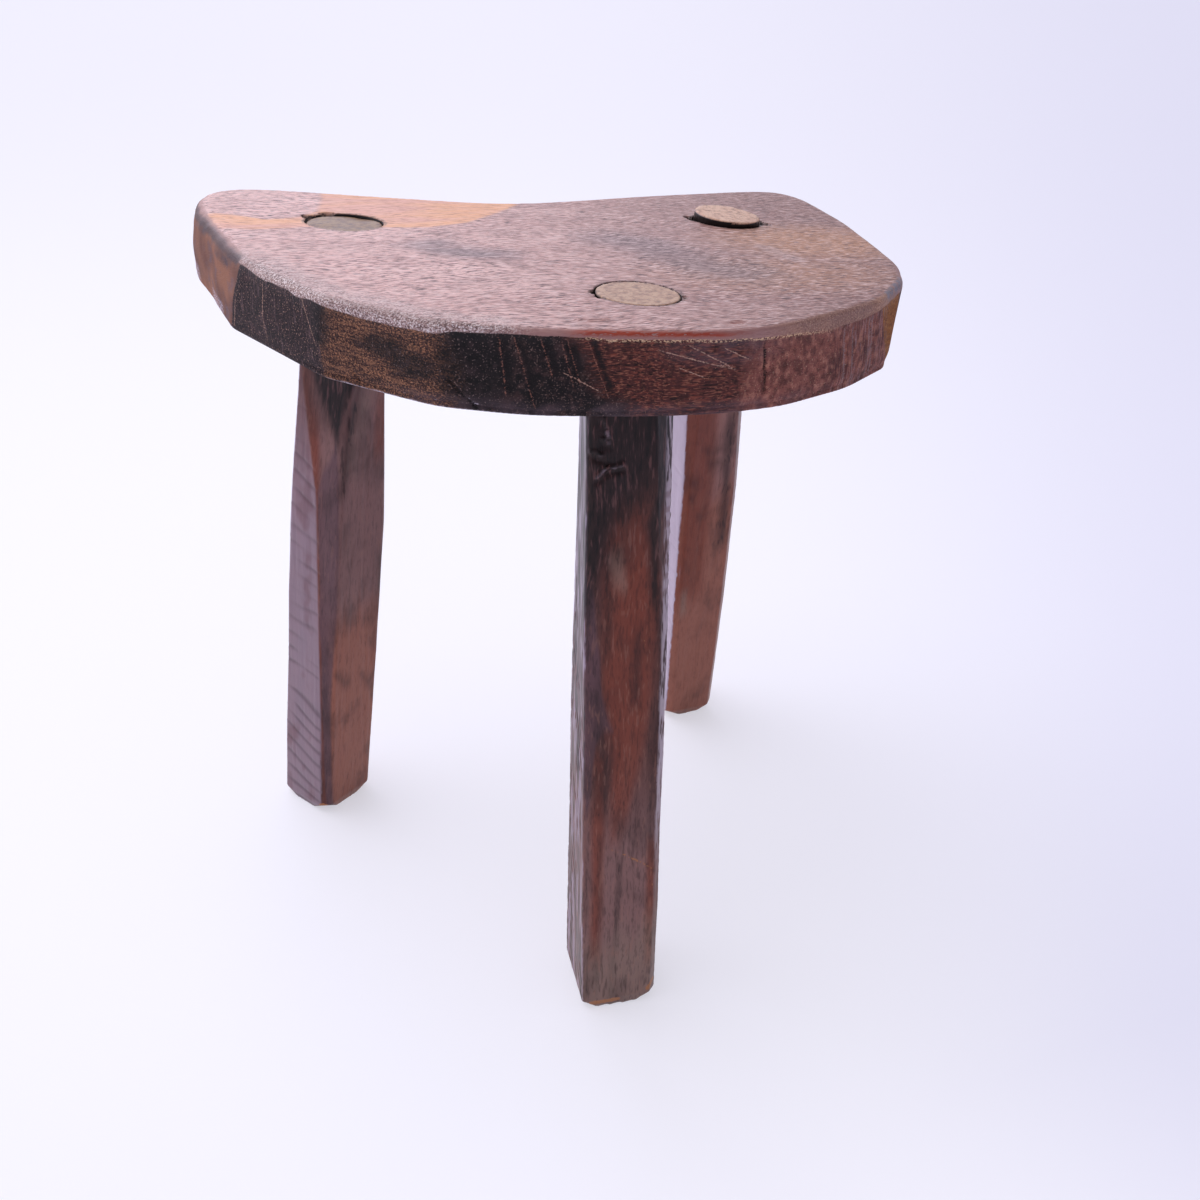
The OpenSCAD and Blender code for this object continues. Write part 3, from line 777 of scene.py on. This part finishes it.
def worn_hardwood_seat():
    """Dense brown hardwood, hewn and left bare: rubbed pale and dry on top, its sides dark with soot and handling.
    Some shade, reflections and highlights are painted into its colour.
    """
    material, tree = new_material("worn_hardwood_seat")
    straight = add(tree, "TexCoord", out="Object")
    # The fibres run along the slab and wander a few millimetres over a hand's width
    wander = add(tree, "TexNoise", {"Vector": straight, "Scale": 18.0, "Detail": 1.0}, out="Color")
    centred = add(tree, "VectorMath", {0: wander, 1: (0.5, 0.5, 0.5)}, operation="SUBTRACT")
    place = add(tree, "VectorMath", {0: centred, 1: (0, 0.022, 0.008), 2: straight}, operation="MULTIPLY_ADD")
    # Pores are 0.2 mm wide and too fine to show, so dashes and hairs are drawn several times that
    dash = streaks(tree, place, (6.2, 0.82, 0.82), 2, 0.6)
    hair = streaks(tree, place, (3.2, 0.46, 0.46), 1)
    upright_hair = streaks(tree, straight, (0.9, 0.9, 14), 2)
    grit = streaks(tree, straight, (0.9, 0.5, 0.5), 1.5)
    figure = streaks(tree, place, (60, 15, 15), 3)
    cloud = streaks(tree, straight, (28, 22, 18), 2)
    smoke = streaks(tree, straight, (9, 9, 5), 3)
    mottle = streaks(tree, straight, (2.6, 2.6, 3), 2)
    dust = streaks(tree, straight, (0.55, 0.55, 0.55), 0)
    layer = streaks(tree, straight, (8, 8, 0.9), 2)

    # The sapwood keeps its own pale fibres
    sap = coats(tree, "#d89f77", [
        ((), "#cf9a89", 1, figure, 0.4, 0.62),
        ((), "#a0705a", 0.85, dash, 0.47, 0.35),
        ((), "#e2b69b", 0.65, dash, 0.53, 0.65),
    ])
    top = coats(tree, "#c79c94", [
        ((), "#d6ada5", 1, figure, 0.36, 0.64),
        # Painted shade, with the wood's own browner tone: darker towards the right
        ("shade", "#7e574d", 1),
        ((), "#8a635c", 0.4, cloud, 0.52, 0.72),
        ("tan", "#ab7852", 0.88),
        ("blue", "#5e5057", 0.85, figure, 0.2, 0.6),
        ("scar", "#bfa6a2", 0.4),
        ((), "#523837", 0.95, dash, 0.46, 0.35),
        ((), "#523837", 0.8, hair, 0.45, 0.35),
        ((), "#e8cfcb", 0.45, dash, 0.54, 0.66),
        ((), "#e8cfcb", 0.4, hair, 0.55, 0.66),
        ("dusty", "#a5918d", 0.5, dash, 0.4, 0.56),
        ("dusty", "#dccdc8", 0.55, grit, 0.54, 0.66),
        ("dusty", "#5f4a4c", 0.55, grit, 0.45, 0.36),
        (edged(tree, "sap", dash, 0.22, 0.1), sap, 1),
    ])

    # The side's stretches, from the left end round by the front to the right end
    side = coats(tree, "#6a4438", [
        ((), "#8f6049", 1, cloud, 0.35, 0.65),
        ((), "#6b575d", 0.6, smoke, 0.5, 0.68),
    ])
    stretches = (
        ("dark_flat", "#281b1e", 0.1, 0.03),
        ("sawn_end", "#4f342b", 0.3, 0.12),
        ("sooty", "#1a1213", 0.6, 0.35),
        ("red_front", "#4e2722", 0.7, 0.4),
        ("brown_right", "#875145", 0.7, 0.4),
        ("tan_corner", "#8b4f12", 0.1, 0.03),
        ("far_right", "#5c3c3a", 0.2, 0.1),
    )
    for name, code, spread, soft in stretches:
        side = coats(tree, side, [(edged(tree, name, cloud, spread, soft), code, 1)])
    # Each stretch on its own, from its start to the start of the next
    starts = (
        (("dark_flat", grit, 0.05, 0.05), ("sawn_end", grit, 0.05, 0.05)),
        (("sawn_end", grit, 0.3, 0.2), ("sooty", grit, 0.3, 0.3)),
        (("sooty", grit, 0.3, 0.3), ("red_front", grit, 0.3, 0.3)),
        (("red_front", grit, 0.3, 0.3), ("brown_right", cloud, 0.7, 0.4)),
        (("brown_right", cloud, 0.7, 0.4), ("tan_corner", grit, 0.1, 0.05)),
        (("tan_corner", grit, 0.1, 0.05), ("far_right", cloud, 0.2, 0.1)),
    )
    flat, sawn, black, front, right, corner = [
        add(tree, "Math", {0: edged(tree, *start), 1: edged(tree, *end)}, operation="SUBTRACT")
        for start, end in starts
    ]
    side = coats(tree, side, [
        (flat, "#40292b", 0.7, smoke, 0.5, 0.66),
        (flat, "#171012", 0.7, mottle, 0.47, 0.34),
        (flat, "#5a4343", 0.55, grit, 0.54, 0.68),
        (flat, "#120c0e", 0.8, dust, 0.44, 0.28),
        (flat, "#a98471", 0.85, dust, 0.68, 0.8),
        (flat, "#6d5556", 0.5, upright_hair, 0.58, 0.68),
        (sawn, "#a4704f", 0.85, grit, 0.52, 0.64),
        (sawn, "#b98460", 0.6, dust, 0.62, 0.8),
        (sawn, "#1d1312", 0.9, grit, 0.46, 0.36),
        (sawn, "#1d1312", 0.6, dust, 0.4, 0.24),
        (sawn, "#2b1a17", 0.6, layer, 0.47, 0.36),
        (sawn, "#9c6c4e", 0.35, layer, 0.54, 0.66),
        (front, "#200f0c", 0.9, dash, 0.47, 0.36),
        (front, "#8a4836", 0.65, dash, 0.54, 0.67),
        (front, "#a5674f", 0.55, hair, 0.54, 0.66),
        (front, "#c08c70", 0.5, dust, 0.74, 0.86),
        (front, "#2a1512", 0.6, mottle, 0.46, 0.32),
        (right, "#5c332b", 0.65, smoke, 0.5, 0.64),
        (right, "#47261f", 0.6, mottle, 0.48, 0.35),
        (right, "#b47a64", 0.6, mottle, 0.53, 0.68),
        (right, "#3a201d", 0.6, grit, 0.42, 0.32),
        (right, "#c29d82", 0.6, dust, 0.7, 0.84),
        (corner, "#5d3512", 0.7, dash, 0.47, 0.36),
        (corner, "#bb8547", 0.6, dash, 0.54, 0.66),
        ("far_right", "#38211f", 0.75, dash, 0.47, 0.35),
        ("far_right", "#7f5a50", 0.6, dash, 0.53, 0.66),
        ("far_right", "#2f1b18", 0.6, mottle, 0.47, 0.34),
        ("far_right", "#9c7868", 0.6, dust, 0.66, 0.82),
        ("upright_marks", "#45282a", 0.7, upright_hair, 0.47, 0.36),
        ("upright_marks", "#9a7a78", 0.6, upright_hair, 0.55, 0.68),
        (black, "#3d2927", 0.75, smoke, 0.5, 0.66),
        (black, "#503933", 0.5, mottle, 0.54, 0.7),
        (black, "#7c655b", 0.6, dust, 0.6, 0.8),
        (black, "#0d090a", 0.7, mottle, 0.46, 0.34),
        (edged(tree, "soot", smoke, 0.9, 0.5), "#181213", 0.8),
        ("soot", "#3b2d2d", 0.5, mottle, 0.52, 0.68),
        ("soot", "#857069", 0.6, dust, 0.66, 0.82),
        ("soot", "#0b0808", 0.7, mottle, 0.46, 0.34),
        # Painted reflection: a lavender-grey sheen along the side's foot
        ("haze", "#5b4b50", 0.6, smoke, 0.3, 0.6),
        # Painted shade: dark bands in the steps of the drawknife marks
        ("cut", "#150f10", 0.9, smoke, 0.2, 0.5),
        # The marks' pale red lines: partly bare wood, partly painted highlight
        (drawn(tree, "knife", grit, 0.26), "#986553", 0.85),
        (drawn(tree, "scratch", grit, 0.24, 1.55), "#bf9680", 0.85),
        (drawn(tree, "crease", grit, 0.62, 1.5), "#9f8784", 0.55),
        (drawn(tree, "crack", grit, 0.27, 1.35), "#0b0605", 0.85),
        # Painted highlights: lavender-white glints on the hairs torn off the left end's foot
        ("torn_foot", "#d9d0dc", 0.9, grit, 0.5, 0.58),
    ])
    # Nothing shows of these behind and below, where the wood is plain, rough and brown
    rough = coats(tree, "#6b493e", [
        ((), "#7d5a4b", 1, figure, 0.36, 0.64),
        ((), "#2f1e1a", 0.75, dash, 0.46, 0.34),
        ((), "#a17c69", 0.5, dash, 0.55, 0.68),
        ((), "#4a332e", 0.6, cloud, 0.5, 0.68),
    ])
    side = coats(tree, side, [
        ("behind", rough, 1),
        ("under", rough, 1),
        # Painted highlight: a pale line along the arris at the side's foot
        ("foot_arris", "#cbc0c8", 0.85, grit, 0.3, 0.45),
    ])

    # The worn top edge: grey and gritty on the left, rubbed to red in front, rolled and brown on the right
    wear = coats(tree, "#9a736c", [
        ("wear_grey", "#9d837d", 1),
        ("wear_brown", "#8a6557", 1),
        ("wear_brown", "#b08468", 0.6, cloud, 0.45, 0.65),
        ("wear_brown", "#5f4136", 0.6, grit, 0.46, 0.35),
        ("wear_brown", "#cba68c", 0.5, grit, 0.56, 0.68),
        ("wear_grey", "#4f3b3c", 0.6, grit, 0.45, 0.36),
        ("wear_grit", "#3f2e30", 0.75, grit, 0.49, 0.39),
        ("wear_grit", "#ece2de", 0.7, grit, 0.54, 0.64),
        ("wear_grit", "#f6efec", 0.7, dust, 0.6, 0.76),
    ])
    colour = coats(tree, top, [
        ("wear", wear, 0.9),
        ("wear_blue", "#70707a", 0.85, mottle, 0.3, 0.55),
        ("red_edge", "#9a3a22", 0.95, hair, 0.3, 0.42),
        (edged(tree, "side", grit, 0.08, 0.02), side, 1),
        (edged(tree, "grime", smoke, 0.9, 0.45), "#463b40", 0.8),
    ])
    # A frayed pale line where the side meets the wear
    above = edged(tree, "side", grit, 0.14, 0.02)
    side_mask = add(tree, "Attribute", out="Fac", attribute_name="side")
    inputs = {"Value": side_mask, "From Min": 0.56, "From Max": 0.64, "To Min": 1.0, "To Max": 0.0}
    below = add(tree, "MapRange", inputs)
    colour = coats(tree, colour, [
        ((above, below, "frayed"), "#d9b48e", 0.9, grit, 0.47, 0.56),
        ("ring", "#2a1c1a", 0.85, grit, 0.35, 0.55),
        # Painted shade: black in the torn notches and on the holes' walls
        ("torn", "#120b0a", 0.9),
        ("bore", "#120b0a", 1),
    ])

    height = add(tree, "Math", {0: grit, 1: side_mask, 2: dash}, operation="MULTIPLY_ADD")
    bump = add(tree, "Bump", {"Strength": 0.7, "Distance": 0.0006, "Height": height})
    # Rubbed smoother on top than on the hewn sides
    roughness = add(tree, "Math", {0: side_mask, 1: 0.32, 2: 0.48}, operation="MULTIPLY_ADD")
    gloss = {"Roughness": roughness, "Specular IOR Level": 0.3}
    shader = add(tree, "BsdfPrincipled", {"Base Color": colour, "Normal": bump, **gloss})
    add(tree, "OutputMaterial", {"Surface": shader})
    return material


def waxed_hardwood_leg():
    """Red-brown hardwood, split and drawknifed along the grain, then darkened and polished by hands and wax. Its
    lavender reflections and highlights, and shade at the legs' tops and on the tenons' sides, are painted into its
    colour.
    """
    material, tree = new_material("waxed_hardwood_leg")
    place = add(tree, "Attribute", out="Vector", attribute_name="grain")
    # Fibres a few tenths of a millimetre wide, drawn coarser to show
    fibre = streaks(tree, place, (1.5, 1.5, 9), 2, 0.6)
    hair = streaks(tree, place, (0.75, 0.75, 4), 1)
    strand = streaks(tree, place, (4.2, 4.2, 30), 2, 0.6)
    figure = streaks(tree, place, (9, 9, 80), 3)
    grit = streaks(tree, place, (1.1, 1.1, 1.1), 1.5)
    cloud = streaks(tree, place, (16, 16, 26), 3)
    colour = coats(tree, "#583630", [((), "#6d4238", 1, figure, 0.34, 0.66)])
    # Patches, from the widest to the smallest
    patches = (
        ("brown", "#9e6450", 0.7, 0.4, 0.9),
        ("pale", "#86635d", 0.8, 0.4, 0.9),
        ("light", "#a8786a", 0.8, 0.4, 0.6),
        ("red", "#7b3b29", 0.9, 0.4, 0.85),
        ("mauve", "#5e4449", 0.3, 0.25, 0.8),
        ("dusky", "#2c1a1a", 0.8, 0.5, 0.6),
        # Dark: partly the wood's own dark, partly painted shade under the seat
        ("dark", "#1e1415", 0.8, 0.45, 0.92),
        ("grey", "#8c7768", 0.9, 0.5, 0.5),
    )
    for name, code, spread, soft, most in patches:
        colour = coats(tree, colour, [(edged(tree, name, figure, spread, soft), code, most)])
    colour = coats(tree, colour, [
        ((), "#2c1a19", 0.4, cloud, 0.5, 0.3),
        ("fibrous", "#241515", 0.5, fibre, 0.46, 0.33),
        ("fibrous", "#1f1312", 0.4, hair, 0.44, 0.33),
        ("fibrous", "#a0705f", 0.35, fibre, 0.56, 0.7),
        ("dark", "#56393a", 0.6, fibre, 0.52, 0.68),
        ("dark", "#120c0d", 0.7, fibre, 0.48, 0.36),
        # Painted reflections: the faces turned to the light on the left carry a lavender sheen of the pale backdrop,
        # in streaks or crossed by the tool, and the arrises and torn ridges get painted highlights
        ("left_face", "#93808a", 0.74),
        ("streaked", "#b3a3b4", 0.75, strand, 0.52, 0.6),
        ("streaked", "#2b2127", 0.85, strand, 0.5, 0.42),
        ("left_face", "#6b4448", 0.5, cloud, 0.52, 0.66),
        ("bright_face", "#cdc1cf", 0.75),
        ("back_arris", "#a595a6", 0.8),
        ("bright_arris", "#c2b3ba", 0.75, fibre, 0.38, 0.54),
        ("tool_groove", "#3f2b30", 0.42),
        ("torn_ridge", "#918087", 0.6),
        (edged(tree, "bare", grit, 0.7, 0.12), "#ab7046", 0.9),
    ])
    # The tenons' ends: mottled end grain, with their sides painted black in the holes, a painted shade
    mottle = streaks(tree, place, (3, 3, 3), 2)
    pale = coats(tree, "#b48c74", [((), "#caa68c", 1, mottle, 0.4, 0.6)])
    end = coats(tree, "#71523c", [
        ((), "#866949", 1, mottle, 0.4, 0.6),
        ("end_tone", pale, 1),
        ((), "#4b3a33", 0.55, mottle, 0.43, 0.28),
        ((), "#5b463c", 0.5, grit, 0.44, 0.34),
    ])
    colour = coats(tree, colour, [("tenon", "#120b0a", 1), ("end_grain", end, 1)])
    bump = add(tree, "Bump", {"Strength": 0.5, "Distance": 0.0004, "Height": fibre})
    gloss = {"Roughness": 0.36, "Specular IOR Level": 0.22}
    shader = add(tree, "BsdfPrincipled", {"Base Color": colour, "Normal": bump, **gloss})
    add(tree, "OutputMaterial", {"Surface": shader})
    return material


def studio_paper():
    """Matt white paper: it glows a little where it is looked at, so it stays pale and still takes the shadow."""
    material, tree = new_material("studio_paper")
    way = add(tree, "TexCoord", out="Object")
    x = add(tree, "SeparateXYZ", {0: way}, out=0)
    y = add(tree, "SeparateXYZ", {0: way}, out=1)
    # The light falls off towards the right, and a little all round
    beyond = add(tree, "Math", {0: y, 1: 0.435}, operation="ADD")
    depth = add(tree, "Math", {0: beyond, 1: 0.22}, operation="MAXIMUM")
    slant = add(tree, "Math", {0: x, 1: depth}, operation="DIVIDE")
    reach = add(tree, "VectorMath", {0: way, 1: (-0.1, 0.2, 0)}, out="Value", operation="DISTANCE")
    near = add(tree, "Math", {0: x, 1: y}, operation="ADD")
    tone = coats(tree, "#f8f7ff", [
        ((), "#f7f6ff", 1, reach, 0.1, 1.6),
        ((), "#eeedfa", 0.8, near, -0.25, -0.75),
        ((), "#e4e3f3", 1, slant, 0.15, 1.25),
    ])
    lit = add(tree, "BsdfDiffuse", {"Color": tone})
    glow = add(tree, "Emission", {"Color": tone})
    # Looked at straight, or by way of a gloss or a glass
    straight = add(tree, "LightPath", out="Is Camera Ray")
    gloss = add(tree, "LightPath", out="Is Glossy Ray")
    glass = add(tree, "LightPath", out="Is Transmission Ray")
    either = add(tree, "Math", {0: gloss, 1: glass}, operation="MAXIMUM")
    seen = add(tree, "Math", {0: straight, 1: either}, operation="MAXIMUM")
    share = add(tree, "Math", {0: seen, 1: 0.57}, operation="MULTIPLY")
    add(tree, "OutputMaterial", {"Surface": add(tree, "MixShader", {0: share, 1: lit, 2: glow})})
    return material


# Pieces


def finish_piece(piece, node, material):
    piece.data.materials.append(material)
    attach(piece, "root")
    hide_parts(node)


def make_seat():
    piece = carve("seat", "seat_slab", SEAT_VOXEL)
    edge = measure_edge(*read_points(piece.data))
    shape_seat(piece.data, edge)
    paint_seat(piece.data, edge)
    finish_piece(piece, "seat", worn_hardwood_seat())


def make_legs():
    wood = waxed_hardwood_leg()
    for seed, side in ((40, "front"), (140, "left"), (240, "right")):
        piece = carve("leg_" + side, side + "_leg", LEG_VOXEL)
        shape_leg(piece.data, side, seed)
        paint_leg(piece.data, side, seed)
        finish_piece(piece, "leg_" + side, wood)


# Stage


def make_camera():
    data = bpy.data.cameras.new("camera")
    data.lens = LENS_MM
    data.sensor_width = 36
    data.clip_start = 0.01
    camera = bpy.data.objects.new("camera", data)
    turn = Matrix.Rotation(math.radians(-LENS_TURN), 4, "Z")
    tilt = Matrix.Rotation(math.radians(90 - LENS_TILT), 4, "X")
    roll = Matrix.Rotation(math.radians(LENS_ROLL), 4, "Z")
    camera.matrix_world = Matrix.Translation(LENS_PLACE) @ turn @ tilt @ roll
    bpy.context.scene.collection.objects.link(camera)
    bpy.context.scene.camera = camera


def make_floor():
    """Paper laid flat round the stool and turned up far away, so that it fills the view."""
    heights = (0, 0.15, 0.5, 1.05, 1.8, 2.9, 4.5, 6.8, 9.6, 13.5)
    rings = [(8 * (i + 1), height) for i, height in enumerate(heights)]
    count = 64
    turns = [2 * math.pi * i / count for i in range(count)]
    points = [(reach * math.cos(turn), reach * math.sin(turn), height) for reach, height in rings for turn in turns]
    faces = [tuple(range(count))]
    for ring in range(len(rings) - 1):
        for i in range(count):
            a, b = ring * count + i, ring * count + (i + 1) % count
            faces.append((a, a + count, b + count, b))
    mesh = bpy.data.meshes.new("floor")
    mesh.from_pydata(points, [], faces)
    mesh.shade_smooth()
    mesh.materials.append(studio_paper())
    floor = bpy.data.objects.new("floor", mesh)
    bpy.context.scene.collection.objects.link(floor)


def make_lamp(name, place, target, size, watts):
    data = bpy.data.lights.new(name, "AREA")
    data.shape = "DISK"
    data.size = size
    data.energy = watts
    lamp = bpy.data.objects.new(name, data)
    lamp.location = place
    lamp.rotation_euler = (Vector(target) - Vector(place)).to_track_quat("-Z", "Y").to_euler()
    bpy.context.scene.collection.objects.link(lamp)


def make_light():
    """A white room, brightest behind the stool on the left and dim in front, with one softbox overhead."""
    world = bpy.data.worlds.new("studio")
    world.use_nodes = True
    tree = world.node_tree
    tree.nodes.clear()
    way = add(tree, "TexCoord", out="Generated")
    back = add(tree, "VectorMath", {0: way, 1: (-0.35, 0.55, 0.76)}, out="Value", operation="DOT_PRODUCT")
    window = add(tree, "VectorMath", {0: way, 1: (-0.42, 0.81, 0.41)}, out="Value", operation="DOT_PRODUCT")
    room = {"Value": back, "From Min": -0.5, "From Max": 1.0, "To Min": 0.15, "To Max": 0.92}
    glare = {"Value": window, "From Min": 0.45, "From Max": 1.0, "To Min": 0.0, "To Max": 1.8}
    room, glare = (add(tree, "MapRange", inputs, interpolation_type="SMOOTHSTEP") for inputs in (room, glare))
    both = add(tree, "Math", {0: room, 1: glare}, operation="ADD")
    add(tree, "OutputWorld", {"Surface": add(tree, "Background", {"Color": linear("#eeecfc"), "Strength": both})})
    bpy.context.scene.world = world
    make_lamp("softbox", (-0.5, 0.3, 1.6), (0, 0, 0.2), 1.2, 6)


make_camera()
make_seat()
make_legs()
make_floor()
make_light()
bpy.context.scene.view_settings.view_transform = "Standard"
